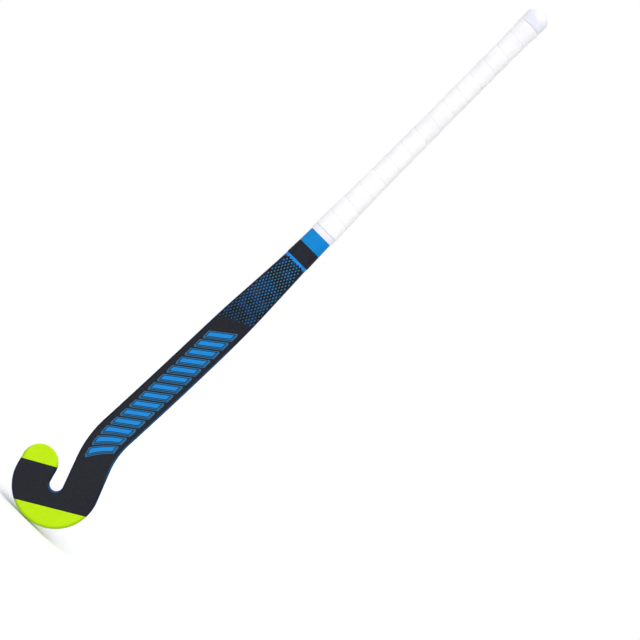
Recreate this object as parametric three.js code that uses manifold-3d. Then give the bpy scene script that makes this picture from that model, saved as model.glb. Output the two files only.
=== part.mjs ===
// A field hockey stick with two parallel inner tubes, in millimetres.
//
// The stick stands on its head with the handle along +Z. Its flat playing face looks towards -Y, its rounded
// back towards +Y, and its hook turns up towards -X.
// The origin is on the handle's axis, where a hand holds it.
//
// Every long piece is a sweep: a closed section is carried down the middle line of the stick, from the butt
// (distance 0) through the shaft, the neck and the hook to the toe. The middle line is a chain of straight
// stretches and arcs in the XZ plane, and the bow is added afterwards as a push towards the playing face.

import * as THREE from 'three';
import { mergeVertices } from 'three/addons/utils/BufferGeometryUtils.js';
import Module from 'manifold-3d';

const wasm = await Module();
wasm.setup();

const degrees = THREE.MathUtils.degToRad;

// ---- Driving dimensions ----

const OVERALL_LENGTH = 927;
const HOLD_FROM_BUTT = 200;
const GAP = 0.3;

// Middle line: the shaft drifts towards the toe, turns to the heel at the neck, and then hooks round.
const DRIFT_LENGTH = 361;
const DRIFT_TURN = degrees(2.9);
const NECK_LEAN = degrees(21);
const NECK_BEND_RADIUS = 122;
const NECK_LENGTH = 41.9;
const HOOK_RADIUS = 32.6;
const HOOK_WIDTH = 48.6;
const TOE_SPLAY = degrees(15);
const TOE_RISE = 14;
const TOE_HALF_WIDTH = 24;
const TOE_TIP_HALF_WIDTH = 3;
const TOE_THINNING = 8;

// Bow: the face leaves the handle's line at BOW_START
// and leans forward by BOW_SLOPE from BOW_END to the head.
const BOW_START = 550;
const BOW_END = 770;
const BOW_SLOPE = 0.112;

// Section of the bare stick at chosen distances from the butt:
// distance, half width, depth of the widest line, whole depth, width of the edge rounding,
// face to handle axis.
const SECTIONS = [
  [0, 13.2, 13.2, 26.4, 13.2, 13.2],
  [28, 13.2, 13.2, 26.4, 13.2, 13.2],
  [60, 12.3, 12.0, 24.0, 12.3, 12.0],
  [230, 12.3, 12.0, 24.0, 12.3, 12.0],
  [330, 13.4, 12.0, 24.2, 12.6, 12.0],
  [407, 15.7, 11.4, 24.0, 11.5, 12.0],
  [450, 17.1, 9.6, 22.6, 8.5, 11.3],
  [500, 19.5, 6.4, 20.2, 5.0, 10.4],
  [560, 22.3, 4.2, 18.0, 3.4, 10.0],
  [620, 23.1, 3.8, 17.2, 3.0, 10.0],
  [800, 23.3, 3.8, 17.6, 3.0, 10.0],
  [862, 23.9, 4.2, 19.5, 3.2, 10.0],
  [920, HOOK_WIDTH / 2, 4.5, 21.0, 3.4, 10.0],
  [980, TOE_HALF_WIDTH, 4.5, 19.0, 3.4, 10.0],
];
const BACK_ROUNDNESS = 2.2;

// Laminate, lining and coat thicknesses, as depths below the outer surface.
const COAT_DEPTH = 0.8;
const FACE_SEAT_DEPTH = 1.2;
const SHELL_DEPTH = 2.4;
const TUBE_WALL = 0.9;
const WEB_THICKNESS = 1.0;

// Distances from the butt at which the pieces start and end.
const CAP_EDGE = 26;
const SHELL_TOP = 12;
const PLUG_END = 60;
const GRIP_END = 398;
const FINISHING_END = 407;
const BLUE_BAND_END = 428;
const BLACK_BAND_END = 450;
const FACE_LAYER_START = 470;
const TUBES_END = 790;

// Wraps on the handle, as heights above the bare handle.
const CUSHION_TOP = 0.9;
const GRIP_TOP = 2.2;
const FINISHING_TOP = 1.5;
const BAND_TOP = 0.6;
const CAP_RADIUS = 15.9;

// ---- Middle line ----

const HOOK_TURN = NECK_LEAN + Math.PI - TOE_SPLAY;
const SHAFT_TO_BOTTOM =
  DRIFT_LENGTH +
  NECK_BEND_RADIUS * (Math.sin(NECK_LEAN) + Math.sin(DRIFT_TURN)) +
  NECK_LENGTH * Math.cos(NECK_LEAN) +
  HOOK_RADIUS * Math.sin(NECK_LEAN) +
  HOOK_RADIUS + HOOK_WIDTH / 2;

// Each stretch has a length and the angle that it turns through, positive from the toe towards the heel.
const STRETCHES = [
  { length: OVERALL_LENGTH - SHAFT_TO_BOTTOM, turn: 0 },
  { length: DRIFT_LENGTH, turn: -DRIFT_TURN },
  { length: NECK_BEND_RADIUS * (NECK_LEAN + DRIFT_TURN), turn: NECK_LEAN + DRIFT_TURN },
  { length: NECK_LENGTH, turn: 0 },
  { length: HOOK_RADIUS * HOOK_TURN, turn: -HOOK_TURN },
  { length: TOE_RISE + TOE_HALF_WIDTH, turn: 0 },
];
const DOME_START = STRETCHES.reduce((sum, stretch) => sum + stretch.length, 0) - TOE_HALF_WIDTH;

// The point on the middle line at a distance from the butt,
// and the lean of the line there (0 is straight down).
function middleLine(distance) {
  let x = 0;
  let down = 0;
  let lean = 0;
  let left = distance;
  for (const { length, turn } of STRETCHES) {
    const part = Math.min(left, length);
    const angle = (turn * part) / length;
    const chord = angle === 0 ? part : (2 * length * Math.sin(angle / 2)) / turn;
    x += chord * Math.sin(lean + angle / 2);
    down += chord * Math.cos(lean + angle / 2);
    lean += angle;
    left -= part;
    if (left <= 0) break;
  }
  return { x, z: HOLD_FROM_BUTT - down, lean };
}

// How far the bow carries a point towards the playing face, by its height.
function bow(z) {
  const distance = HOLD_FROM_BUTT - z;
  if (distance < BOW_START) return 0;
  const arc = Math.min(distance, BOW_END) - BOW_START;
  const straight = Math.max(distance - BOW_END, 0);
  return (BOW_SLOPE * arc * arc) / (2 * (BOW_END - BOW_START)) + BOW_SLOPE * straight;
}

// ---- Sections ----

const sectionAt = new THREE.CubicInterpolant(
  SECTIONS.map((row) => row[0]),
  SECTIONS.flatMap((row) => row.slice(1)),
  5,
);

// The section's sizes at a distance from the butt, for a surface that lies inset below the outer one.
function sizesAt(distance, inset) {
  const past = Math.max(distance - DOME_START, 0);
  const [width, side, depth, edge, front] = sectionAt.evaluate(Math.min(distance, DOME_START));
  const reach = width - inset;
  const half = past > 0 ? Math.sqrt(Math.max(reach * reach - past * past, TOE_TIP_HALF_WIDTH ** 2)) : reach;
  const thinned = depth - TOE_THINNING * (past / TOE_HALF_WIDTH) ** 2;
  return {
    half,
    side,
    front,
    near: inset,
    far: thinned - inset,
    edge: Math.min(Math.max(edge - inset, 0.4), half),
  };
}

// Where a surface that lies inset below the outer one reaches the toe's tip.
function toeTip(inset) {
  return DOME_START + Math.sqrt((TOE_HALF_WIDTH - inset) ** 2 - TOE_TIP_HALF_WIDTH ** 2);
}

const BACK_STEPS = 5;
const EDGE_STEPS = 2;

// Half of the section, from the middle of the flat face round the heel edge to the middle of the back.
// Each point is [across, depth], with across towards the heel and depth counted from the face.
function heelHalf(distance, inset) {
  const { half, side, near, far, edge } = sizesAt(distance, inset);
  const points = [[0, near]];
  for (let i = 0; i < EDGE_STEPS; i++) {
    const angle = (Math.PI / 2) * (i / EDGE_STEPS);
    points.push([half - edge + edge * Math.sin(angle), side - (side - near) * Math.cos(angle)]);
  }
  for (let i = 0; i <= BACK_STEPS; i++) {
    const angle = (Math.PI / 2) * (i / BACK_STEPS);
    const across = Math.max(Math.cos(angle), 0) ** (2 / BACK_ROUNDNESS);
    const height = Math.sin(angle) ** (2 / BACK_ROUNDNESS);
    points.push([half * across, side + (far - side) * height]);
  }
  points[points.length - 1][0] = 0;
  return points;
}

const mirrored = (points) => points.map(([across, depth]) => [-across, depth]).reverse();

// The whole section, inset below the outer surface. A negative inset lies above it.
function fullSection(inset) {
  return (distance) => {
    const heel = heelHalf(distance, inset);
    return [...heel, ...mirrored(heel).slice(1, -1)];
  };
}

// The point where the side from one corner to the next crosses the web's side.
function crossing([acrossA, depthA], [acrossB, depthB], clearance) {
  const share = (clearance - acrossA) / (acrossB - acrossA);
  return [clearance, depthA + (depthB - depthA) * share];
}

// The part of the section on the heel side of the central web.
function heelSection(inset, clearance) {
  return (distance) => {
    const points = heelHalf(distance, inset);
    const [, faceEnd] = points;
    const kept = points.slice(2, -1);
    const hasFlat = faceEnd[0] > clearance;
    return [
      hasFlat ? [clearance, faceEnd[1]] : crossing(faceEnd, kept[0], clearance),
      hasFlat ? faceEnd : crossing(faceEnd, kept[0], 2 * clearance),
      ...kept,
      crossing(points[points.length - 1], kept[kept.length - 1], clearance),
    ];
  };
}

// The part of the section on the toe side of the central web.
function toeSection(inset, clearance) {
  return (distance) => mirrored(heelSection(inset, clearance)(distance));
}

const rectangle = (reach, near, far) => [[reach, near], [reach, far], [-reach, far], [-reach, near]];

// A flat strip on the face that stops margin short of the rounded edges.
function stripSection(margin, near, far) {
  return (distance) => {
    const { half, edge } = sizesAt(distance, 0);
    return rectangle(half - edge - margin, near, far);
  };
}

// The thin wall between the two tubes, clear of the laminate in front and behind.
function webSection(inset) {
  return (distance) => {
    const { near, far } = sizesAt(distance, inset);
    return rectangle(WEB_THICKNESS / 2, near, far);
  };
}

// ---- Sweeping a section down the stick ----

const HANDLE_STEP = 46;
const NECK_START = STRETCHES[0].length + STRETCHES[1].length;
const NECK_STEP = 9;
const HOOK_STEP = 7.5;
const DOME_STEP = 4;

// The distances at which every sweep has a section, so that nested pieces share their facets.
const STOPS = [];
for (let at = 0; at < DOME_START + TOE_HALF_WIDTH; ) {
  STOPS.push(at);
  if (at < NECK_START - HANDLE_STEP) at += HANDLE_STEP;
  else if (at < NECK_START + NECK_STEP * 8) at += NECK_STEP;
  else if (at < DOME_START) at += HOOK_STEP;
  else at += DOME_STEP;
}

// Puts a section's point into the stick's frame.
function placed(distance, [across, depth]) {
  const { x, z, lean } = middleLine(distance);
  const height = z + across * Math.sin(lean);
  const toFace = sizesAt(distance, 0).front;
  return new THREE.Vector3(x + across * Math.cos(lean), depth - toFace - bow(height), height);
}

// A closed cylinder whose rings are bent onto the sections between two distances.
function sweep(section, from, to) {
  const margin = 1;
  const stops = [from, ...STOPS.filter((at) => at > from + margin && at < to - margin), to];
  const sides = section(from).length;
  const rows = stops.length - 1;
  const geometry = new THREE.CylinderGeometry(1, 1, 1, sides, rows);
  const position = geometry.getAttribute('position');
  for (let i = 0; i < position.count; i++) {
    const row = Math.round((0.5 - position.getY(i)) * rows);
    const ring = section(stops[row]);
    const onAxis = Math.hypot(position.getX(i), position.getZ(i)) < 0.5;
    const turn = Math.atan2(position.getX(i), position.getZ(i)) / (2 * Math.PI);
    const corner = ring[(Math.round(turn * sides) + sides) % sides];
    const centre = ring.reduce(([a, b], [c, d]) => [a + c / sides, b + d / sides], [0, 0]);
    position.setXYZ(i, ...placed(stops[row], onAxis ? centre : corner).toArray());
  }
  return solidFrom(geometry);
}

// ---- Joining and cutting ----

// A solid whose shared corners are merged, ready to be joined and cut.
function solidFrom(geometry) {
  geometry.deleteAttribute('normal');
  geometry.deleteAttribute('uv');
  const merged = mergeVertices(geometry, 1e-4);
  const vertProperties = Float32Array.from(merged.getAttribute('position').array);
  const triVerts = Uint32Array.from(merged.getIndex().array);
  return new wasm.Manifold(new wasm.Mesh({ numProp: 3, vertProperties, triVerts }));
}

function geometryFrom(solid) {
  const { vertProperties, triVerts } = solid.getMesh();
  const geometry = new THREE.BufferGeometry();
  geometry.setAttribute('position', new THREE.BufferAttribute(vertProperties, 3));
  geometry.setIndex(new THREE.BufferAttribute(triVerts, 1));
  geometry.computeVertexNormals();
  return geometry;
}

// A wrap round the stick, between two heights above its bare surface.
function sleeve(from, to, low, high) {
  const overrun = 2;
  const outside = sweep(fullSection(-high), from, to);
  const inside = sweep(fullSection(-low), from - overrun, to + overrun);
  return outside.subtract(inside);
}

// ---- The two coated ends of the head ----

// Each coat starts at a straight line across the head. A line is given by its middle, from the hook's centre,
// by the way it looks (turned from +Z about +Y) and by its length.
const TOE_LINE = { across: -35.5, up: 3.7, looks: degrees(-28.9), length: 56 };
const HEEL_LINE = { across: 15, up: -25.3, looks: degrees(149.8), length: 104 };
const COAT_REACH = 60;

const hookStart = middleLine(NECK_START + STRETCHES[2].length + NECK_LENGTH);
const hookCentre = {
  x: hookStart.x - HOOK_RADIUS * Math.cos(hookStart.lean),
  z: hookStart.z - HOOK_RADIUS * Math.sin(hookStart.lean),
};

// The space beyond a line, which starts early by the given clearance.
function beyond(line, clearance) {
  const block = new THREE.BoxGeometry(line.length + 2 * clearance, 2 * COAT_REACH, COAT_REACH);
  block.translate(0, -COAT_REACH / 2, COAT_REACH / 2 - clearance);
  block.rotateY(line.looks);
  block.translate(hookCentre.x + line.across, 0, hookCentre.z + line.up);
  return solidFrom(block);
}

// What is left of a solid this side of both lines.
const withoutCoats = (solid, clearance) =>
  solid.subtract(beyond(TOE_LINE, clearance)).subtract(beyond(HEEL_LINE, clearance));

// ---- Pieces ----

const surface = sweep(fullSection(0), SHELL_TOP, toeTip(0));

// The woven laminate that carries the load: hollow, open at the butt, and stepped down under the coats.
function outerShell() {
  const step = COAT_DEPTH + GAP;
  const stepped = sweep(fullSection(step), SHELL_TOP, toeTip(step));
  const hollow = sweep(fullSection(SHELL_DEPTH), 0, toeTip(SHELL_DEPTH));
  const seat = sweep(stripSection(0, -step, FACE_SEAT_DEPTH), FACE_LAYER_START, DOME_START);
  return withoutCoats(surface, GAP).add(stepped).subtract(withoutCoats(seat, GAP / 3)).subtract(hollow);
}

// The thin sheet on the playing face.
function faceLayer() {
  const strip = sweep(stripSection(GAP, 0, COAT_DEPTH), FACE_LAYER_START + GAP, DOME_START - GAP);
  return withoutCoats(strip, GAP);
}

// The coat that wraps the head beyond a line.
function coat(line) {
  const inside = sweep(fullSection(COAT_DEPTH), SHELL_TOP, toeTip(COAT_DEPTH));
  return surface.subtract(inside).intersect(beyond(line, 0));
}

const LINING = SHELL_DEPTH + GAP;
const WEB_SIDE = WEB_THICKNESS / 2 + GAP;

// One of the two tubes that stiffen the shaft. Its half of the section is toeSection or heelSection.
function coreTube(half) {
  const overrun = 5;
  const outside = sweep(half(LINING, WEB_SIDE), PLUG_END + GAP, TUBES_END);
  const hollow = half(LINING + TUBE_WALL, WEB_SIDE + TUBE_WALL);
  const inside = sweep(hollow, PLUG_END - overrun, TUBES_END + overrun);
  return outside.subtract(inside);
}

// The foam that fills a tube.
function foamCore(half) {
  const wall = TUBE_WALL + GAP;
  return sweep(half(LINING + wall, WEB_SIDE + wall), PLUG_END + GAP, TUBES_END);
}

// The rounded cap over the butt, open below to go over the shell's end.
function buttCap() {
  const rounding = 12;
  const steps = 6;
  const bore = 14.1;
  const profile = [];
  for (let i = 0; i <= steps; i++) {
    const angle = (Math.PI / 2) * (i / steps);
    profile.push(new THREE.Vector2(CAP_RADIUS * Math.sin(angle), rounding * Math.cos(angle) - rounding));
  }
  profile[0].x = 0;
  profile.push(new THREE.Vector2(CAP_RADIUS, -CAP_EDGE));
  profile.push(new THREE.Vector2(bore, -CAP_EDGE));
  profile.push(new THREE.Vector2(bore, GAP - SHELL_TOP));
  profile.push(new THREE.Vector2(0, GAP - SHELL_TOP));
  const cap = new THREE.LatheGeometry(profile.reverse(), 28);
  cap.rotateX(Math.PI / 2);
  cap.translate(0, 0, HOLD_FROM_BUTT);
  return solidFrom(cap);
}

// ---- Assembly ----

const colour = {
  blue: 0x0a7bdc,
  charcoal: 0x262833,
  lime: 0xbfea00,
  carbon: 0x17181a,
  foam: 0xe8dcb4,
  rubber: 0xe9eaf4,
  white: 0xf2f3f6,
  black: 0x111214,
};

const stick = new THREE.Group();

function addPart(name, solid, color, roughness, metalness = 0) {
  const mesh = new THREE.Mesh(
    geometryFrom(solid),
    new THREE.MeshStandardMaterial({ color, roughness, metalness }),
  );
  mesh.name = name;
  stick.add(mesh);
}

addPart('outer_shell', outerShell(), colour.blue, 0.4);
addPart('face_layer', faceLayer(), colour.charcoal, 0.6);
addPart('toe_coat', coat(TOE_LINE), colour.lime, 0.4);
addPart('heel_coat', coat(HEEL_LINE), colour.lime, 0.4);
addPart('core_tube_toe_side', coreTube(toeSection), colour.carbon, 0.5);
addPart('core_tube_heel_side', coreTube(heelSection), colour.carbon, 0.5);
addPart('foam_core_toe_side', foamCore(toeSection), colour.foam, 0.9);
addPart('foam_core_heel_side', foamCore(heelSection), colour.foam, 0.9);
addPart('central_web', sweep(webSection(LINING), PLUG_END + GAP, TUBES_END), colour.carbon, 0.5);
addPart('head_core', sweep(fullSection(LINING), TUBES_END + GAP, toeTip(LINING)), colour.foam, 0.8);
addPart('handle_plug', sweep(fullSection(LINING), SHELL_TOP, PLUG_END), colour.foam, 0.8);
addPart('butt_cap', buttCap(), colour.rubber, 0.6);
addPart('cushion_wrap', sleeve(CAP_EDGE + GAP, GRIP_END, GAP, CUSHION_TOP), colour.black, 0.9);
addPart('grip_tape', sleeve(CAP_EDGE + GAP, GRIP_END, CUSHION_TOP + GAP, GRIP_TOP), colour.white, 0.75);
addPart('finishing_tape', sleeve(GRIP_END + GAP, FINISHING_END, GAP, FINISHING_TOP), colour.white, 0.6);
addPart('blue_collar_band', sleeve(FINISHING_END + GAP, BLUE_BAND_END, GAP, BAND_TOP), colour.blue, 0.4);
addPart('black_collar_band', sleeve(BLUE_BAND_END + GAP, BLACK_BAND_END, GAP, BAND_TOP), colour.black, 0.4);

export default stick;
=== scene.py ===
"""The visual model of a field hockey stick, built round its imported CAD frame.

The stick stands along +Z with its playing face towards -Y and its toe towards -X. Shapes are worked out in
millimetres from the same middle line and sections as the CAD model, and turned into metres when a mesh is
made.
"""
import math

import bmesh
import bpy
import numpy as np
from mathutils import Matrix, Vector


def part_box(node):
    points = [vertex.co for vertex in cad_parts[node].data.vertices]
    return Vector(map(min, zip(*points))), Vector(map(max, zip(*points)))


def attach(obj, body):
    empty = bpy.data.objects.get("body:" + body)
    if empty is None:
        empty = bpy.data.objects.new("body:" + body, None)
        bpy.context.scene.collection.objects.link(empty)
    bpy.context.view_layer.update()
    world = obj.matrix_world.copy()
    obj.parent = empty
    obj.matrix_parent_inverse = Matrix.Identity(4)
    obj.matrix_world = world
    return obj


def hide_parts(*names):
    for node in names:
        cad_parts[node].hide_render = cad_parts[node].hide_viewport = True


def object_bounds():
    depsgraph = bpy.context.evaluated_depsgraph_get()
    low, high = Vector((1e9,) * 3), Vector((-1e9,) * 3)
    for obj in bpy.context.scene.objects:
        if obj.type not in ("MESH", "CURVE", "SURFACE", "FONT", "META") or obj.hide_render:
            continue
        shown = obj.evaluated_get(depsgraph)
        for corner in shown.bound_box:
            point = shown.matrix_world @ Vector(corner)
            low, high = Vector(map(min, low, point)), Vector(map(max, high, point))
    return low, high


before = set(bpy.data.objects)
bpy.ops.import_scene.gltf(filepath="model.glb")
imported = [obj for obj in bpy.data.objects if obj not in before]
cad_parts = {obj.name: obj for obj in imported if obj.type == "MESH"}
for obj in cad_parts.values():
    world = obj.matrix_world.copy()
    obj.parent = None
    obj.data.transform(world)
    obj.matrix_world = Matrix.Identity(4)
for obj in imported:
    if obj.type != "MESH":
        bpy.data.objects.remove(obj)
cad_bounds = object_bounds()
MM = 0.001

# ---------------------------------------------------------------- the stick's own measures, in millimetres

BUTT_TOP = cad_bounds[1].z / MM
DRIFT_LENGTH = 361
DRIFT_TURN = math.radians(2.9)
NECK_LEAN = math.radians(21)
NECK_BEND_RADIUS = 122
NECK_LENGTH = 41.9
HOOK_RADIUS = 32.6
HOOK_WIDTH = 48.6
TOE_SPLAY = math.radians(15)
TOE_RISE = 14
TOE_HALF_WIDTH = 24
TOE_THINNING = 8
OVERALL_LENGTH = 927
BOW_START = 550
BOW_END = 770
BOW_SLOPE = 0.112

# distance from the butt, half width, depth of the widest line, whole depth, edge rounding,
# face to handle axis
SECTIONS = np.array([
    [0, 13.2, 13.2, 26.4, 13.2, 13.2],
    [28, 13.2, 13.2, 26.4, 13.2, 13.2],
    [60, 12.3, 12.0, 24.0, 12.3, 12.0],
    [230, 12.3, 12.0, 24.0, 12.3, 12.0],
    [330, 13.4, 12.0, 24.2, 12.6, 12.0],
    [407, 15.7, 11.4, 24.0, 11.5, 12.0],
    [450, 17.1, 9.6, 22.6, 8.5, 11.3],
    [500, 19.5, 6.4, 20.2, 5.0, 10.4],
    [560, 22.3, 4.2, 18.0, 3.4, 10.0],
    [620, 23.1, 3.8, 17.2, 3.0, 10.0],
    [800, 23.3, 3.8, 17.6, 3.0, 10.0],
    [862, 23.9, 4.2, 19.5, 3.2, 10.0],
    [920, HOOK_WIDTH / 2, 4.5, 21.0, 3.4, 10.0],
    [980, TOE_HALF_WIDTH, 4.5, 19.0, 3.4, 10.0],
])
BACK_ROUNDNESS = 2.2

HOOK_TURN = NECK_LEAN + math.pi - TOE_SPLAY
SHAFT_TO_BOTTOM = (
    DRIFT_LENGTH
    + NECK_BEND_RADIUS * (math.sin(NECK_LEAN) + math.sin(DRIFT_TURN))
    + NECK_LENGTH * math.cos(NECK_LEAN)
    + HOOK_RADIUS * math.sin(NECK_LEAN)
    + HOOK_RADIUS
    + HOOK_WIDTH / 2
)
STRETCHES = [
    (OVERALL_LENGTH - SHAFT_TO_BOTTOM, 0.0),
    (DRIFT_LENGTH, -DRIFT_TURN),
    (NECK_BEND_RADIUS * (NECK_LEAN + DRIFT_TURN), NECK_LEAN + DRIFT_TURN),
    (NECK_LENGTH, 0.0),
    (HOOK_RADIUS * HOOK_TURN, -HOOK_TURN),
    (TOE_RISE + TOE_HALF_WIDTH, 0.0),
]
STRETCH_ENDS = np.cumsum([length for length, _ in STRETCHES])
NECK_START = STRETCH_ENDS[1]
HOOK_START = STRETCH_ENDS[3]
TIP = STRETCH_ENDS[5]
DOME_START = TIP - TOE_HALF_WIDTH


def span(node):
    """How far a handle node starts and ends from the butt, read from the CAD frame."""
    low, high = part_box(node)
    return BUTT_TOP - high.z / MM, BUTT_TOP - low.z / MM


CAP_EDGE = span("butt_cap")[1]
GRIP_END = span("grip_tape")[1]
FINISHING_END = span("finishing_tape")[1]
BLUE_BAND_END = span("blue_collar_band")[1]
BLACK_BAND_END = span("black_collar_band")[1]


def middle_line(distance):
    """Across, height and lean of the middle line at a distance from the butt."""
    x, down, lean, left = 0.0, 0.0, 0.0, distance
    for length, turn in STRETCHES:
        part = min(left, length)
        angle = turn * part / length
        chord = part if turn == 0 else 2 * length * math.sin(angle / 2) / turn
        x += chord * math.sin(lean + angle / 2)
        down += chord * math.cos(lean + angle / 2)
        lean += angle
        left -= part
        if left <= 0:
            break
    return x, BUTT_TOP - down, lean


def bow(height):
    """How far the bow carries a point towards the playing face."""
    distance = BUTT_TOP - height
    arc = min(max(distance - BOW_START, 0), BOW_END - BOW_START)
    straight = max(distance - BOW_END, 0)
    return BOW_SLOPE * arc * arc / (2 * (BOW_END - BOW_START)) + BOW_SLOPE * straight


def section_sizes(distance):
    """Half width, side depth, depth, edge rounding and face offset: a smooth curve through the sections."""
    at = SECTIONS[:, 0]
    distance = min(max(distance, at[0]), at[-1])
    i = min(int(np.searchsorted(at, distance, side="right")) - 1, len(at) - 2)
    gap = at[i + 1] - at[i]
    t = (distance - at[i]) / gap
    before = SECTIONS[max(i - 1, 0)]
    after = SECTIONS[min(i + 2, len(at) - 1)]
    here, there = SECTIONS[i], SECTIONS[i + 1]
    slope_here = (there - before) / (there[0] - before[0]) * gap
    slope_there = (after - here) / (after[0] - here[0]) * gap
    blend = (
        (2 * t**3 - 3 * t**2 + 1) * here
        + (t**3 - 2 * t**2 + t) * slope_here
        + (3 * t**2 - 2 * t**3) * there
        + (t**3 - t**2) * slope_there
    )
    return blend[1:]


def sizes_at(distance, raised=0.0):
    """Half width, side, near and far depth, and edge of a surface raised above the stick."""
    past = max(distance - DOME_START, 0)
    half, side, depth, edge, _ = section_sizes(min(distance, DOME_START))
    reach = half + raised
    if past > 0:
        half = math.sqrt(max(reach * reach - past * past, 0.0))
        squeeze = half / reach
        side = side * (0.55 + 0.45 * squeeze)
        depth -= TOE_THINNING * (past / TOE_HALF_WIDTH) ** 2
        depth = side + (depth - side) * math.sqrt(max(squeeze, 0.0))
    else:
        half = reach
    return half, side, -raised, depth + raised, min(edge + raised, half)


def placed(distance, across, depth):
    """A section's point in the stick's frame, in millimetres."""
    x, z, lean = middle_line(distance)
    front = section_sizes(min(distance, DOME_START))[4]
    height = z + across * math.sin(lean)
    return x + across * math.cos(lean), depth - front - bow(height), height


# ---------------------------------------------------------------- sections with many points

FLAT_STEPS = 20
CORNER_STEPS = 8
BACK_STEPS = 26


def ring_points(distance, raised=0.0):
    """The section as [across, depth], from the middle of the face round by the heel side and the back."""
    half, side, near, far, edge = sizes_at(distance, raised)
    flat = [[(half - edge) * i / FLAT_STEPS, near] for i in range(FLAT_STEPS)]
    corner = []
    for i in range(CORNER_STEPS):
        angle = math.pi / 2 * i / CORNER_STEPS
        corner.append([half - edge + edge * math.sin(angle), side - (side - near) * math.cos(angle)])
    back = []
    for i in range(BACK_STEPS + 1):
        angle = math.pi / 2 * i / BACK_STEPS
        wide = max(math.cos(angle), 0.0) ** (2 / BACK_ROUNDNESS)
        high = math.sin(angle) ** (2 / BACK_ROUNDNESS)
        back.append([half * wide, side + (far - side) * high])
    heel = flat + corner + back
    toe = [[-a, d] for a, d in reversed(heel[1:-1])]
    return heel + toe


RING = len(ring_points(100.0))
SHEET_COLUMNS = FLAT_STEPS + 3
SHEET_THICKNESS = 0.8


def on_sheet(column):
    """True for the points of a ring that the face sheet covers."""
    return min(column, RING - column) <= SHEET_COLUMNS


# ---------------------------------------------------------------- mesh making


def stations(start, end, step, hook_step=1.6):
    """Distances for rings: closer together in the neck and the hook, and closest at the tip."""
    result, at = [start], start
    while True:
        tip_left = max(TIP - at, 0.0)
        wanted = step if at < NECK_START - 10 else hook_step
        if at > DOME_START:
            wanted = min(hook_step, max(0.12, tip_left * 0.16))
        at += wanted
        if at >= end - wanted * 0.4:
            break
        result.append(at)
    return result + [end]


def loft(name, rings):
    """A closed piece through rings of (distance, across, depth)."""
    count = len(rings[0])
    labels = [point for ring in rings for point in ring]
    faces = []
    for j in range(len(rings) - 1):
        for i in range(count):
            k = (i + 1) % count
            faces.append((j * count + i, j * count + k, (j + 1) * count + k, (j + 1) * count + i))
    faces.append(tuple(reversed(range(count))))
    last = (len(rings) - 1) * count
    faces.append(tuple(range(last, last + count)))
    return labelled_piece(name, labels, faces, 35)


def labelled_piece(name, labels, faces, sharp):
    """A piece from points as (distance, across, depth), kept on the mesh for its material."""
    mesh = bpy.data.meshes.new(name)
    mesh.from_pydata([Vector(placed(*point)) * MM for point in labels], [], faces)
    for index, label in enumerate(("along", "across", "depth")):
        layer = mesh.attributes.new(label, "FLOAT", "POINT")
        layer.data.foreach_set("value", [point[index] for point in labels])
    piece = bpy.data.objects.new(name, mesh)
    bpy.context.scene.collection.objects.link(piece)
    tidy(piece, sharp)
    return piece


def tidy(piece, sharp=35):
    """Outward faces, merged doubles, smooth shading with sharp edges."""
    mesh = piece.data
    bm = bmesh.new()
    bm.from_mesh(mesh)
    bmesh.ops.remove_doubles(bm, verts=bm.verts, dist=2e-6)
    bmesh.ops.recalc_face_normals(bm, faces=bm.faces)
    bm.to_mesh(mesh)
    bm.free()
    mesh.polygons.foreach_set("use_smooth", [True] * len(mesh.polygons))
    mesh.set_sharp_from_angle(angle=math.radians(sharp))


def cut_beyond(piece, centre, normal, first, last, keep_beyond=False):
    """Cuts a piece between two distances with a plane, drops one side and closes the hole."""
    bm = bmesh.new()
    bm.from_mesh(piece.data)
    along = bm.verts.layers.float["along"]
    chosen = [f for f in bm.faces if all(first <= v[along] <= last for v in f.verts)]
    geometry = list({e for f in chosen for e in f.edges} | {v for f in chosen for v in f.verts}) + chosen
    bmesh.ops.bisect_plane(
        bm, geom=geometry, dist=1e-6, plane_co=Vector(centre) * MM, plane_no=Vector(normal),
        clear_outer=not keep_beyond, clear_inner=keep_beyond,
    )
    open_edges = [e for e in bm.edges if e.is_boundary]
    filled = bmesh.ops.holes_fill(bm, edges=open_edges, sides=0)["faces"]
    bmesh.ops.triangulate(bm, faces=filled)
    bm.to_mesh(piece.data)
    bm.free()
    tidy(piece)


# ---------------------------------------------------------------- the lime lines across the head

HOOK_X, HOOK_Z, HOOK_LEAN = middle_line(HOOK_START)
HOOK_CENTRE = (HOOK_X - HOOK_RADIUS * math.cos(HOOK_LEAN), HOOK_Z - HOOK_RADIUS * math.sin(HOOK_LEAN))
TOE_LINE = {
    "across": -35.5, "up": 3.7, "looks": math.radians(-28.9),
    "from": HOOK_START + 62, "to": TIP + 1,
}
HEEL_LINE = {
    "across": 15.0, "up": -25.3, "looks": math.radians(149.8),
    "from": HOOK_START - 22, "to": HOOK_START + 92,
}


def line_plane(line):
    """A point on the plane of a line across the head, and the way that the coat lies."""
    point = (HOOK_CENTRE[0] + line["across"], 0.0, HOOK_CENTRE[1] + line["up"])
    return point, (math.sin(line["looks"]), 0.0, math.cos(line["looks"]))


def without_coats(piece):
    """Takes both coated ends off a piece."""
    for line in (TOE_LINE, HEEL_LINE):
        cut_beyond(piece, *line_plane(line), line["from"], line["to"])
    return piece


# ---------------------------------------------------------------- pieces of the laminate

SHELL_START = 16.0
SHELL_STEP = 3.0


def shell_ring(distance):
    """The outer laminate's section: its face is stepped down where the face sheet lies."""
    recessed = distance > BLACK_BAND_END + 0.2
    points = []
    for column, (across, depth) in enumerate(ring_points(distance)):
        sunk = SHEET_THICKNESS if recessed and on_sheet(column) else 0.0
        points.append((distance, across, depth + sunk))
    return points


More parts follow.
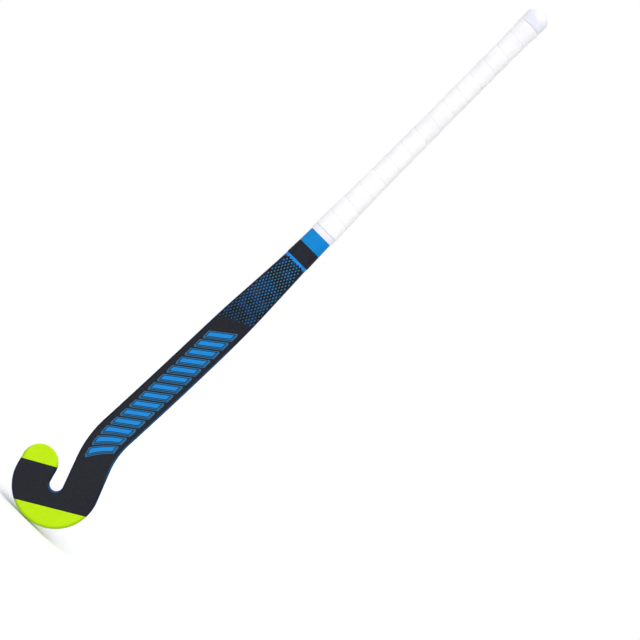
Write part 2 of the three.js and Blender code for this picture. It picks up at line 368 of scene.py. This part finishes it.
def sheet_ring(distance):
    """The face sheet's section: the face's outer surface, and the same a sheet's thickness below."""
    ring = ring_points(distance)
    columns = list(range(RING - SHEET_COLUMNS, RING)) + list(range(SHEET_COLUMNS + 1))
    top = [(distance, *ring[column]) for column in columns]
    below = [(distance, across, depth + SHEET_THICKNESS) for _, across, depth in reversed(top)]
    return top + below


def outer_laminate():
    at = stations(SHELL_START, TIP - 0.03, SHELL_STEP)
    at = sorted(at + [BLACK_BAND_END + 0.15, BLACK_BAND_END + 0.25])
    return without_coats(loft("outer_laminate", [shell_ring(d) for d in at]))


def face_sheet():
    at = stations(BLACK_BAND_END + 0.3, TIP - 0.03, SHELL_STEP)
    return without_coats(loft("playing_face_sheet", [sheet_ring(d) for d in at]))


def head_coat(name, line):
    at = stations(line["from"] - 6, min(line["to"], TIP - 0.03), SHELL_STEP)
    piece = loft(name, [[(d, a, b) for a, b in ring_points(d)] for d in at])
    cut_beyond(piece, *line_plane(line), 0, 2 * TIP, keep_beyond=True)
    return piece


# ---------------------------------------------------------------- pieces of the handle


HANDLE_CENTRE = 12.0


def sleeve(name, start, end, height, step=1.0, low=0.25):
    """A wrap round the handle. height(distance, turn) is how far it stands above the bare stick."""
    at = np.linspace(start, end, max(int((end - start) / step), 6))
    outer, inner = [], []
    for d in at:
        base = ring_points(d)
        raised = ring_points(d, 1.0)
        ring = []
        for (a, b), (a1, b1) in zip(base, raised):
            turn = math.atan2(a, HANDLE_CENTRE - b) / (2 * math.pi)
            h = height(d, turn)
            ring.append((d, a + (a1 - a) * h, b + (b1 - b) * h))
        outer.append(ring)
        inner.append([(d, a, b) for a, b in ring_points(d, low)])
    count = len(outer[0])
    labels = [p for ring in outer for p in ring] + [p for ring in inner for p in ring]
    rows = len(at)
    faces = []
    for j in range(rows - 1):
        for i in range(count):
            k = (i + 1) % count
            o, n = j * count, rows * count + j * count
            faces.append((o + i, o + k, o + count + k, o + count + i))
            faces.append((n + i, n + count + i, n + count + k, n + k))
    for j in (0, rows - 1):
        o, n = j * count, rows * count + j * count
        faces += [(o + i, o + (i + 1) % count, n + (i + 1) % count, n + i) for i in range(count)]
    return labelled_piece(name, labels, faces, 50)


GRIP_PITCH = 25.0
GRIP_HEIGHT = 2.0
SEAM_FLATTENING = 0.11


def smooth(low, high, value):
    t = min(max((value - low) / (high - low), 0.0), 1.0)
    return t * t * (3 - 2 * t)


def grip_height(distance, turn):
    """The spiral tape: a step at each overlap, a soft crown between, and a slight waviness."""
    wave = 0.10 * math.sin(distance * 0.21 + 2.0 * math.sin(turn * 2 * math.pi))
    flatter = SEAM_FLATTENING * math.sin(2 * math.pi * turn)
    phase = (distance / GRIP_PITCH - turn + flatter) % 1.0
    step = smooth(0.0, 0.05, phase) * (1 - smooth(0.10, 0.55, phase))
    crease = -0.18 * math.exp(-((min(phase, 1.0 - phase) / 0.04) ** 2))
    crown = 0.22 * math.sin(math.pi * phase)
    top_swell = 0.5 * (1 - smooth(CAP_EDGE + 2, CAP_EDGE + 14, distance))
    end_roll = -1.1 * smooth(GRIP_END - 2.5, GRIP_END + 1.5, distance)
    top_roll = -0.9 * (1 - smooth(CAP_EDGE, CAP_EDGE + 1.6, distance))
    return GRIP_HEIGHT + 0.45 * step + crease + crown + wave + top_swell + end_roll + top_roll


def finishing_height(distance, turn):
    """Stretch tape that holds the grip's end and tapers down to the collar."""
    t = (distance - GRIP_END) / (FINISHING_END - GRIP_END)
    fold = 0.10 * math.sin(6 * math.pi * turn + distance * 0.8)
    return 0.75 + 1.25 * math.sqrt(max(1 - t * t, 0.0)) + fold * (1 - t)


CAP_DOME = 15.5


def butt_cap():
    """A soft dome with a rolled lower edge and a faint mould ring, turned about the handle's axis."""
    low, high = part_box("butt_cap")
    radius = (high.x - low.x) / 2 / MM
    profile = []
    for i in range(25):
        angle = math.pi / 2 * i / 24
        profile.append((radius * math.sin(angle), CAP_DOME * (1 - math.cos(angle))))
    profile[0] = (0.0, 0.0)
    for t in np.linspace(0.06, 1.0, 22):
        d = CAP_DOME + (CAP_EDGE - CAP_DOME) * t
        ring_mark = 0.22 * math.exp(-(((d - 19.0) / 0.5) ** 2))
        swell = 0.18 * math.sin(math.pi * t)
        roll = 0.8 * smooth(CAP_EDGE - 1.2, CAP_EDGE, d)
        profile.append((radius - 0.15 - ring_mark + swell - roll, d))
    profile.append((radius - 2.2, CAP_EDGE))
    profile.append((radius - 2.2, 14.0))
    profile.append((0.0, 14.0))
    steps = 96
    mesh = bpy.data.meshes.new("soft_butt_cap")
    bm = bmesh.new()
    rings = []
    for r, d in profile:
        z = (BUTT_TOP - d) * MM
        if r == 0:
            rings.append([bm.verts.new((0, 0, z))])
        else:
            turns = [2 * math.pi * i / steps for i in range(steps)]
            rings.append([bm.verts.new((r * MM * math.cos(t), r * MM * math.sin(t), z)) for t in turns])
    for a, b in zip(rings, rings[1:]):
        for i in range(steps):
            k = (i + 1) % steps
            corners = [a[i % len(a)], a[k % len(a)], b[k % len(b)], b[i % len(b)]]
            bm.faces.new(list(dict.fromkeys(corners)))
    bmesh.ops.recalc_face_normals(bm, faces=bm.faces)
    bm.to_mesh(mesh)
    bm.free()
    piece = bpy.data.objects.new("soft_butt_cap", mesh)
    bpy.context.scene.collection.objects.link(piece)
    tidy(piece, sharp=50)
    return piece

# ---------------------------------------------------------------- material helpers


def linear(red, green, blue):
    """A colour given as 0-255 display values, as the renderer's linear colour."""
    def one(value):
        value /= 255
        return value / 12.92 if value <= 0.04045 else ((value + 0.055) / 1.055) ** 2.4
    return one(red), one(green), one(blue), 1.0


class Material:
    """A Principled material with short ways to add the nodes that its patterns need."""

    def __init__(self, name):
        self.material = bpy.data.materials.new(name)
        self.material.use_nodes = True
        self.nodes = self.material.node_tree.nodes
        self.links = self.material.node_tree.links
        self.shader = self.nodes["Principled BSDF"]

    def feed(self, socket, value):
        """Links an output to a socket, or sets a plain value on it."""
        if isinstance(value, bpy.types.NodeSocket):
            self.links.new(value, socket)
        else:
            socket.default_value = value

    def set(self, name, value):
        self.feed(self.shader.inputs[name], value)

    def label(self, name):
        """One of the along, across and depth measures that every laminate piece carries on its points."""
        node = self.nodes.new("ShaderNodeAttribute")
        node.attribute_name = name
        return node.outputs["Fac"]

    def place(self):
        """The point's own place in metres."""
        return self.nodes.new("ShaderNodeTexCoord").outputs["Object"]

    def math(self, operation, first, second=0.0, third=0.0):
        node = self.nodes.new("ShaderNodeMath")
        node.operation = operation
        for socket, value in zip(node.inputs, (first, second, third)):
            self.feed(socket, value)
        return node.outputs[0]

    def ramp(self, value, low, high, start=0.0, end=1.0):
        """A smooth change from start to end as the value goes from low to high."""
        node = self.nodes.new("ShaderNodeMapRange")
        node.interpolation_type = "SMOOTHSTEP"
        for index, item in enumerate((value, low, high, start, end)):
            self.feed(node.inputs[index], item)
        return node.outputs[0]

    def below(self, value, limit, soft=0.12):
        """One where the value is below the limit, with a thin soft edge."""
        return self.ramp(self.math("SUBTRACT", value, limit), -soft, soft, 1.0, 0.0)

    def both(self, *masks):
        result = masks[0]
        for mask in masks[1:]:
            result = self.math("MULTIPLY", result, mask)
        return result

    def within(self, value, low, high, soft=0.12):
        above = self.math("SUBTRACT", 1.0, self.below(value, low, soft))
        return self.both(self.below(value, high, soft), above)

    def mix(self, amount, base, top):
        node = self.nodes.new("ShaderNodeMix")
        node.data_type = "RGBA"
        self.feed(node.inputs[0], amount)
        self.feed(node.inputs[6], base)
        self.feed(node.inputs[7], top)
        return node.outputs[2]

    def noise(self, scale, detail=4.0, vector=None):
        node = self.nodes.new("ShaderNodeTexNoise")
        node.inputs["Scale"].default_value = scale
        node.inputs["Detail"].default_value = detail
        self.links.new(vector or self.place(), node.inputs["Vector"])
        return node.outputs["Fac"]

    def cells(self, scale, vector=None):
        node = self.nodes.new("ShaderNodeTexVoronoi")
        node.inputs["Scale"].default_value = scale
        self.links.new(vector or self.place(), node.inputs["Vector"])
        return node.outputs["Distance"]

    def vector(self, x, y, z=0.0):
        node = self.nodes.new("ShaderNodeCombineXYZ")
        for socket, value in zip(node.inputs, (x, y, z)):
            self.feed(socket, value)
        return node.outputs[0]

    def bump(self, height, strength, distance=0.0003, under=None):
        node = self.nodes.new("ShaderNodeBump")
        node.inputs["Strength"].default_value = strength
        node.inputs["Distance"].default_value = distance
        self.feed(node.inputs["Height"], height)
        if under is not None:
            self.links.new(under, node.inputs["Normal"])
        return node.outputs["Normal"]

    def repeat(self, value, pitch):
        """The value's place within its repeat, from minus half a pitch to plus half a pitch."""
        return self.math("SUBTRACT", self.math("FLOORED_MODULO", value, pitch), pitch / 2)


def painted(piece, material, node):
    """Gives a piece its material and its body, and hides the CAD node that it replaces."""
    piece.data.materials.clear()
    piece.data.materials.append(material)
    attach(piece, "root")
    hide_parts(node)
    return piece


# ---------------------------------------------------------------- graphics shared by the face and the back

GRAPHIC_START = 580
GRAPHIC_END = 806
BAR_HALF_LENGTH = 12.0
BAR_THICKNESS = 6.2
BAR_PITCH = (GRAPHIC_END - GRAPHIC_START) / 14
BAR_SLANT = 0.8
EDGE_SOFTNESS = 0.35


def bars(m, along, across, grown):
    """Plain slanted bars in a row down the shaft. Grown widens each bar all round."""
    slanted = m.math("SUBTRACT", m.math("ADD", along, m.math("MULTIPLY", across, BAR_SLANT)), GRAPHIC_START)
    gap = m.math("ABSOLUTE", m.repeat(slanted, BAR_PITCH))
    return m.both(
        m.below(gap, grown + BAR_THICKNESS / 2, EDGE_SOFTNESS),
        m.below(m.math("ABSOLUTE", across), grown + BAR_HALF_LENGTH, EDGE_SOFTNESS),
        m.within(slanted, 0.0, GRAPHIC_END - GRAPHIC_START),
    )


def hex_spots(m, along, across, pitch):
    """Distance to the nearest spot of a grid in offset rows, as a share of the pitch."""
    row = pitch * 1.732
    nearest = None
    for shift in (0.0, 0.5):
        a = m.math("DIVIDE", m.repeat(m.math("ADD", along, shift * row), row), pitch)
        b = m.math("DIVIDE", m.repeat(m.math("ADD", across, 100 * pitch + shift * pitch), pitch), pitch)
        far = m.math("ADD", m.math("ABSOLUTE", m.math("MULTIPLY", a, 0.62)), m.math("ABSOLUTE", b))
        nearest = far if nearest is None else m.math("MINIMUM", nearest, far)
    return nearest


# ---------------------------------------------------------------- materials


STEEL_BLUE = linear(44, 112, 156)
DARK_NAVY = linear(8, 16, 40)
SPOT_BLUE = linear(36, 132, 192)
RIM_BLUE = linear(12, 96, 158)


def charcoal_face():
    m = Material("charcoal_face")
    along, across = m.label("along"), m.label("across")
    grain = m.noise(950, 3.0)
    streak = m.noise(9, 5.0, m.vector(m.math("MULTIPLY", along, 0.02), m.math("MULTIPLY", across, 0.6)))
    colour = m.mix(m.ramp(grain, 0.35, 0.65), linear(18, 21, 28), linear(32, 35, 44))
    colour = m.mix(m.ramp(streak, 0.45, 0.7, 0.0, 0.3), colour, linear(40, 43, 54))

    shadow_along = m.math("SUBTRACT", along, 1.3)
    shadow_across = m.math("SUBTRACT", across, 1.3)
    colour = m.mix(bars(m, shadow_along, shadow_across, 2.5), colour, STEEL_BLUE)
    colour = m.mix(bars(m, shadow_along, shadow_across, 1.5), colour, DARK_NAVY)
    colour = m.mix(bars(m, along, across, 2.5), colour, STEEL_BLUE)
    colour = m.mix(bars(m, along, across, 1.3), colour, DARK_NAVY)
    colour = m.mix(bars(m, along, across, 0.2), colour, linear(18, 132, 212))

    cut = m.math("SUBTRACT", m.math("MULTIPLY", across, 0.5), 561)
    panel = m.both(
        m.below(m.math("ADD", along, cut), 0.0, 1.2),
        m.within(along, BLACK_BAND_END, 590, 0.4),
    )
    spots = m.below(hex_spots(m, along, across, 4.3), 0.24, 0.06)
    patch_place = m.vector(m.math("MULTIPLY", along, 0.0016), m.math("MULTIPLY", across, 0.0016))
    patch = m.noise(38, 2.0, patch_place)
    ground = m.mix(m.ramp(patch, 0.44, 0.56), linear(9, 12, 22), linear(9, 33, 66))
    ground = m.mix(m.ramp(patch, 0.58, 0.66), ground, linear(34, 32, 46))
    fade = m.ramp(along, 470, 575, 0.85, 0.35)
    spot_colour = m.mix(m.ramp(patch, 0.4, 0.6), linear(66, 124, 152), SPOT_BLUE)
    mesh = m.mix(m.both(spots, fade), ground, spot_colour)
    colour = m.mix(panel, colour, mesh)

    tooth = m.math("MULTIPLY", m.math("ABSOLUTE", m.repeat(m.math("ADD", across, 90), 5.0)), 0.7)
    strip = m.below(m.math("ADD", along, tooth), BLACK_BAND_END + 4.6, 0.3)
    colour = m.mix(strip, colour, linear(20, 140, 226))

    # A blue line inside the heel-side edge, and the blue that shows at the rim of the hook's slot.
    edge_line = m.within(across, 21.3, 22.1, 0.2)
    edge_line = m.both(edge_line, m.within(along, 590, HOOK_START - 30, 12.0))
    colour = m.mix(edge_line, colour, RIM_BLUE)
    slot_rim = m.below(across, -22.3, 0.2)
    slot_rim = m.both(slot_rim, m.within(along, HOOK_START + 18, HOOK_START + 96, 5.0))
    colour = m.mix(slot_rim, colour, RIM_BLUE)

    m.set("Base Color", colour)
    m.set("Roughness", m.ramp(m.noise(420, 4.0), 0.3, 0.7, 0.42, 0.58))
    m.set("Specular IOR Level", 0.16)
    m.set("Normal", m.bump(grain, 0.35, 0.0002, m.bump(m.noise(160, 3.0), 0.06)))
    return m.material


def lacquer_blue():
    m = Material("lacquer_blue")
    along, across, depth = m.label("along"), m.label("across"), m.label("depth")
    spread = m.math("ABSOLUTE", across)
    on_back = m.ramp(depth, 9.0, 12.0)
    colour = m.mix(m.ramp(along, 560, 940), linear(0, 134, 226), linear(0, 112, 204))
    # Painted shade: the rounded flanks between the face edge and the back's crown are darkened.
    painted_flank_shade = m.both(m.ramp(depth, 4.0, 8.5), m.ramp(depth, 15.5, 10.5))
    colour = m.mix(m.math("MULTIPLY", painted_flank_shade, 0.75), colour, linear(0, 76, 146))
    face_line = m.below(depth, m.ramp(along, 450, 600, 6.6, 2.1), 0.2)
    colour = m.mix(m.both(face_line, m.ramp(along, 452, 458)), colour, linear(8, 20, 40))

    upper = m.ramp(along, 500, 585, 1.0, 0.0)
    head = m.ramp(along, 822, 860)
    shown = m.both(m.math("MAXIMUM", upper, head), on_back)
    scale = m.below(hex_spots(m, along, across, 3.8), 0.30, 0.10)
    colour = m.mix(m.math("MULTIPLY", m.both(scale, shown), 0.5), colour, linear(0, 82, 166))

    colour = m.mix(m.both(bars(m, along, across, 2.9), on_back), colour, linear(10, 14, 26))
    colour = m.mix(m.both(bars(m, along, across, 1.8), on_back), colour, linear(0, 120, 220))
    colour = m.mix(m.both(bars(m, along, across, 0.9), on_back), colour, linear(10, 14, 26))

    # The head's plain emblem: a lozenge inside a lozenge.
    from_middle = m.math("ABSOLUTE", m.math("SUBTRACT", along, 868))
    reach = m.math("ADD", m.math("MULTIPLY", from_middle, 0.75), spread)
    emblem = m.math("ADD", m.within(reach, 15.0, 18.5), m.below(reach, 10.5))
    colour = m.mix(m.both(emblem, on_back), colour, linear(9, 13, 24))

    colour = m.mix(m.ramp(m.noise(900, 2.0), 0.62, 0.8, 0.0, 0.12), colour, linear(160, 210, 246))
    scuff = m.noise(40, 6.0)
    m.set("Base Color", colour)
    m.set("Roughness", m.ramp(scuff, 0.3, 0.75, 0.26, 0.4))
    m.set("Specular IOR Level", 0.22)
    m.set("Coat Weight", 0.12)
    m.set("Coat Roughness", 0.12)
    raised = m.both(scale, shown)
    m.set("Normal", m.bump(raised, 0.25, 0.0002, m.bump(m.noise(240, 3.0), 0.05)))
    return m.material


def lime_lacquer(name, line):
    """Lime lacquer with a thin dark line where it meets the rest of the head."""
    m = Material(name)
    across, depth = m.label("across"), m.label("depth")
    point, normal = line_plane(line)
    parts = m.nodes.new("ShaderNodeSeparateXYZ")
    m.links.new(m.place(), parts.inputs[0])
    over_x = m.math("MULTIPLY", m.math("SUBTRACT", parts.outputs[0], point[0] * MM), normal[0] / MM)
    over_z = m.math("MULTIPLY", m.math("SUBTRACT", parts.outputs[2], point[2] * MM), normal[2] / MM)
    beyond = m.math("ADD", over_x, over_z)
    rim = m.ramp(m.math("ABSOLUTE", across), 19.0, 23.8)
    shade = m.math("MULTIPLY", m.math("MAXIMUM", rim, m.ramp(depth, 6.0, 12.0, 0.0, 0.6)), 0.8)
    colour = m.mix(shade, linear(184, 226, 0), linear(140, 178, 0))
    colour = m.mix(m.ramp(m.noise(1500, 2.0), 0.55, 0.75, 0.0, 0.22), colour, linear(206, 240, 30))
    colour = m.mix(m.below(beyond, 0.9, 0.15), colour, linear(22, 30, 24))
    m.set("Base Color", colour)
    m.set("Roughness", m.ramp(m.noise(60, 5.0), 0.3, 0.7, 0.22, 0.38))
    m.set("Specular IOR Level", 0.14)
    m.set("Coat Weight", 0.06)
    m.set("Coat Roughness", 0.1)
    m.set("Normal", m.bump(m.noise(700, 3.0), 0.08, 0.0002))
    return m.material


def soft_grip():
    """White foam-backed tape: pricked with small holes, leathery between them, and greyer in the holes and
    creases, which is painted shade.
    """
    m = Material("soft_white_grip")
    along, across, depth = m.label("along"), m.label("across"), m.label("depth")
    angle = m.math("ARCTAN2", across, m.math("SUBTRACT", HANDLE_CENTRE, depth))
    round_it = m.math("MULTIPLY", angle, 13.5)
    holes = m.below(hex_spots(m, along, round_it, 2.6), 0.13, 0.06)
    leather = m.cells(1500)
    flatter = m.math("MULTIPLY", m.math("SINE", angle), SEAM_FLATTENING)
    phase = m.math("SUBTRACT", m.math("DIVIDE", along, GRIP_PITCH), m.math("DIVIDE", angle, 2 * math.pi))
    phase = m.math("ADD", phase, flatter)
    seam = m.math("ABSOLUTE", m.repeat(phase, 1.0))
    crease = m.math("SUBTRACT", 1.0, m.below(seam, 0.47, 0.02))
    colour = m.mix(m.ramp(m.noise(22, 4.0), 0.35, 0.7), linear(252, 252, 253), linear(246, 246, 250))
    # Painted shade: the holes are greyed where the shade inside them would fall.
    colour = m.mix(m.math("MULTIPLY", holes, 0.35), colour, linear(176, 176, 190))
    # Painted shade: a grey line along each overlap crease of the tape.
    colour = m.mix(m.math("MULTIPLY", crease, 0.2), colour, linear(190, 190, 202))
    m.set("Base Color", colour)
    m.set("Roughness", m.ramp(m.noise(300, 3.0), 0.3, 0.7, 0.5, 0.68))
    m.set("Subsurface Weight", 0.06)
    m.set("Subsurface Radius", (0.002, 0.002, 0.002))
    pits = m.math("SUBTRACT", 1.0, holes)
    wrinkled = m.bump(m.noise(110, 4.0), 0.35, 0.0012)
    leathery = m.bump(leather, 0.2, 0.0003, wrinkled)
    m.set("Normal", m.bump(pits, 0.3, 0.0002, leathery))
    return m.material


def stretch_tape():
    m = Material("stretch_tape")
    along, across = m.label("along"), m.label("across")
    weave = m.math("SINE", m.math("MULTIPLY", along, 9.0))
    weft = m.math("SINE", m.math("MULTIPLY", across, 9.0))
    cloth = m.math("MULTIPLY", weave, weft)
    colour = m.mix(m.ramp(cloth, -1.0, 1.0), linear(228, 230, 238), linear(248, 248, 252))
    m.set("Base Color", colour)
    m.set("Roughness", m.ramp(m.noise(200), 0.3, 0.7, 0.55, 0.75))
    m.set("Normal", m.bump(cloth, 0.25, 0.0002))
    return m.material


def cap_rubber():
    m = Material("cap_rubber")
    mottled = m.noise(30, 5.0)
    colour = m.mix(m.ramp(mottled, 0.35, 0.7), linear(244, 245, 252), linear(230, 232, 247))
    m.set("Base Color", colour)
    m.set("Roughness", m.ramp(m.noise(120, 4.0), 0.3, 0.7, 0.34, 0.5))
    m.set("Subsurface Weight", 0.08)
    m.set("Subsurface Radius", (0.002, 0.002, 0.003))
    m.set("Normal", m.bump(m.noise(1800, 2.0), 0.12, 0.0002))
    return m.material


def film(name, dark, light, rough):
    """Thin stuck-on film with a faint brushed grain round the handle."""
    m = Material(name)
    along, depth = m.label("along"), m.label("depth")
    grain = m.noise(14, 4.0, m.vector(m.math("MULTIPLY", along, 0.6), m.math("MULTIPLY", depth, 0.02)))
    colour = m.mix(m.ramp(grain, 0.3, 0.7), dark, light)
    m.set("Base Color", colour)
    m.set("Roughness", m.ramp(m.noise(350, 3.0), 0.3, 0.7, rough, rough + 0.16))
    m.set("Specular IOR Level", 0.16)
    m.set("Normal", m.bump(grain, 0.12, 0.0002))
    return m.material


def carbon_weave(name, light=(58, 60, 66)):
    m = Material(name)
    parts = m.nodes.new("ShaderNodeSeparateXYZ")
    m.links.new(m.place(), parts.inputs[0])
    warp = m.math("SINE", m.math("MULTIPLY", m.math("ADD", parts.outputs[0], parts.outputs[2]), 2600))
    weft = m.math("SINE", m.math("MULTIPLY", m.math("SUBTRACT", parts.outputs[0], parts.outputs[2]), 2600))
    tows = m.math("MULTIPLY", warp, weft)
    m.set("Base Color", m.mix(m.ramp(tows, -0.6, 0.6), linear(14, 15, 18), linear(*light)))
    m.set("Roughness", m.ramp(m.noise(500, 3.0), 0.3, 0.7, 0.3, 0.45))
    m.set("Normal", m.bump(tows, 0.3, 0.0002))
    return m.material


def cell_foam():
    m = Material("cell_foam")
    bubbles = m.cells(1100)
    m.set("Base Color", m.mix(m.ramp(bubbles, 0.1, 0.7), linear(150, 142, 110), linear(222, 214, 182)))
    m.set("Roughness", m.ramp(m.noise(400, 3.0), 0.3, 0.7, 0.75, 0.95))
    m.set("Normal", m.bump(bubbles, 0.5, 0.0004))
    return m.material


def under_wrap_cloth():
    m = Material("under_wrap_cloth")
    threads = m.math("SINE", m.math("MULTIPLY", m.noise(500, 4.0), 30.0))
    m.set("Base Color", m.mix(m.ramp(threads, -1.0, 1.0), linear(96, 98, 106), linear(150, 152, 160)))
    m.set("Roughness", m.ramp(m.noise(250, 3.0), 0.3, 0.7, 0.75, 0.92))
    m.set("Normal", m.bump(threads, 0.3, 0.0003))
    return m.material


# ---------------------------------------------------------------- the stick

black_film = film("black_band_film", linear(20, 22, 30), linear(38, 40, 50), 0.34)
blue_film = film("blue_band_film", linear(0, 126, 200), linear(2, 137, 213), 0.34)
laminate = carbon_weave("inner_laminate_weave")

painted(outer_laminate(), lacquer_blue(), "outer_shell")
painted(face_sheet(), charcoal_face(), "face_layer")
toe_lime = lime_lacquer("lime_toe_lacquer", TOE_LINE)
painted(head_coat("toe_lacquer_coat", TOE_LINE), toe_lime, "toe_coat")
heel_lime = lime_lacquer("lime_heel_lacquer", HEEL_LINE)
painted(head_coat("heel_lacquer_coat", HEEL_LINE), heel_lime, "heel_coat")
painted(sleeve("spiral_grip", CAP_EDGE + 0.3, GRIP_END, grip_height), soft_grip(), "grip_tape")
painted(
    sleeve("grip_finishing_tape", GRIP_END + 0.3, FINISHING_END, finishing_height),
    stretch_tape(), "finishing_tape",
)
rubber = cap_rubber()
painted(butt_cap(), rubber, "butt_cap")
BAND_HEIGHT = 0.6
blue_band = sleeve("blue_collar_film", FINISHING_END + 0.3, BLUE_BAND_END, lambda d, t: BAND_HEIGHT)
painted(blue_band, blue_film, "blue_collar_band")
black_band = sleeve("black_collar_film", BLUE_BAND_END + 0.3, BLACK_BAND_END, lambda d, t: BAND_HEIGHT)
painted(black_band, black_film, "black_collar_band")

foam = cell_foam()
INSIDE = {
    "core_tube_toe_side": laminate, "core_tube_heel_side": laminate, "central_web": laminate,
    "head_core": carbon_weave("head_laminate_weave", (72, 70, 66)), "handle_plug": rubber,
    "foam_core_toe_side": foam, "foam_core_heel_side": foam, "cushion_wrap": under_wrap_cloth(),
}
for node, material in INSIDE.items():
    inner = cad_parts[node]
    inner.data.materials.clear()
    inner.data.materials.append(material)

# ---------------------------------------------------------------- floor, light and camera


def studio():
    floor_z = cad_bounds[0].z - 0.001
    bpy.ops.mesh.primitive_circle_add(vertices=96, radius=60, fill_type="NGON", location=(0, 0, floor_z))
    floor = bpy.context.object
    floor.name = "studio_floor"
    m = Material("pale_floor")
    m.set("Base Color", m.mix(m.ramp(m.noise(3.0), 0.3, 0.7), (0.93, 0.93, 0.93, 1), (0.95, 0.95, 0.95, 1)))
    m.set("Roughness", 0.9)
    floor.data.materials.append(m.material)



def white_surround():
    """A white background that lights the stick less than it shows, so that rounded sides stay visible."""
    world = bpy.data.worlds.new("studio_world")
    world.use_nodes = True
    nodes, links = world.node_tree.nodes, world.node_tree.links
    path = nodes.new("ShaderNodeLightPath")
    strength = nodes.new("ShaderNodeMapRange")
    strength.inputs["To Min"].default_value = SURROUND_LIGHT
    strength.inputs["To Max"].default_value = 1.0
    links.new(path.outputs["Is Camera Ray"], strength.inputs["Value"])
    links.new(strength.outputs["Result"], nodes["Background"].inputs["Strength"])
    nodes["Background"].inputs["Color"].default_value = (1, 1, 1, 1)
    bpy.context.scene.world = world


def wide_light(name, direction, strength, spread):
    """A light from far off and a wide patch of sky, which lights the floor evenly to its end."""
    light = bpy.data.lights.new(name, "SUN")
    light.energy = strength
    light.angle = spread
    lamp = bpy.data.objects.new(name, light)
    bpy.context.scene.collection.objects.link(lamp)
    lamp.rotation_euler = Vector(direction).to_track_quat("-Z", "Y").to_euler()


def soft_light(name, place, aim, power, size):
    light = bpy.data.lights.new(name, "AREA")
    light.energy = power
    light.size = size
    lamp = bpy.data.objects.new(name, light)
    bpy.context.scene.collection.objects.link(lamp)
    lamp.location = place
    lamp.rotation_euler = (Vector(aim) - Vector(place)).to_track_quat("-Z", "Y").to_euler()
    return lamp


SURROUND_LIGHT = 0.30
studio()
white_surround()
wide_light("wide_front_light", (0.05, 0.80, -0.60), 1.2, math.radians(50))
wide_light("wide_top_light", (0.0, 0.1, -1.0), 1.9, math.radians(60))
middle = (0.0, 0.0, -0.25)
soft_light("back_light", (-0.8, 2.4, 1.4), middle, 12, 1.6)

VIEW_POINT = Vector((0.0745, 0.0, -0.284))
VIEW_DISTANCE = 4.0
VIEW_ROLL = (0.7100, 0.7043)

camera_data = bpy.data.cameras.new("photo_camera")
camera_data.lens = 175
camera_data.sensor_width = 36
camera = bpy.data.objects.new("photo_camera", camera_data)
bpy.context.scene.collection.objects.link(camera)
cosine, sine = VIEW_ROLL
axes = Matrix(((cosine, -sine, 0.0), (0.0, 0.0, -1.0), (sine, cosine, 0.0))).to_4x4()
camera.matrix_world = Matrix.Translation(VIEW_POINT - Vector((0, VIEW_DISTANCE, 0))) @ axes
bpy.context.scene.camera = camera
bpy.context.scene.view_settings.view_transform = "Standard"
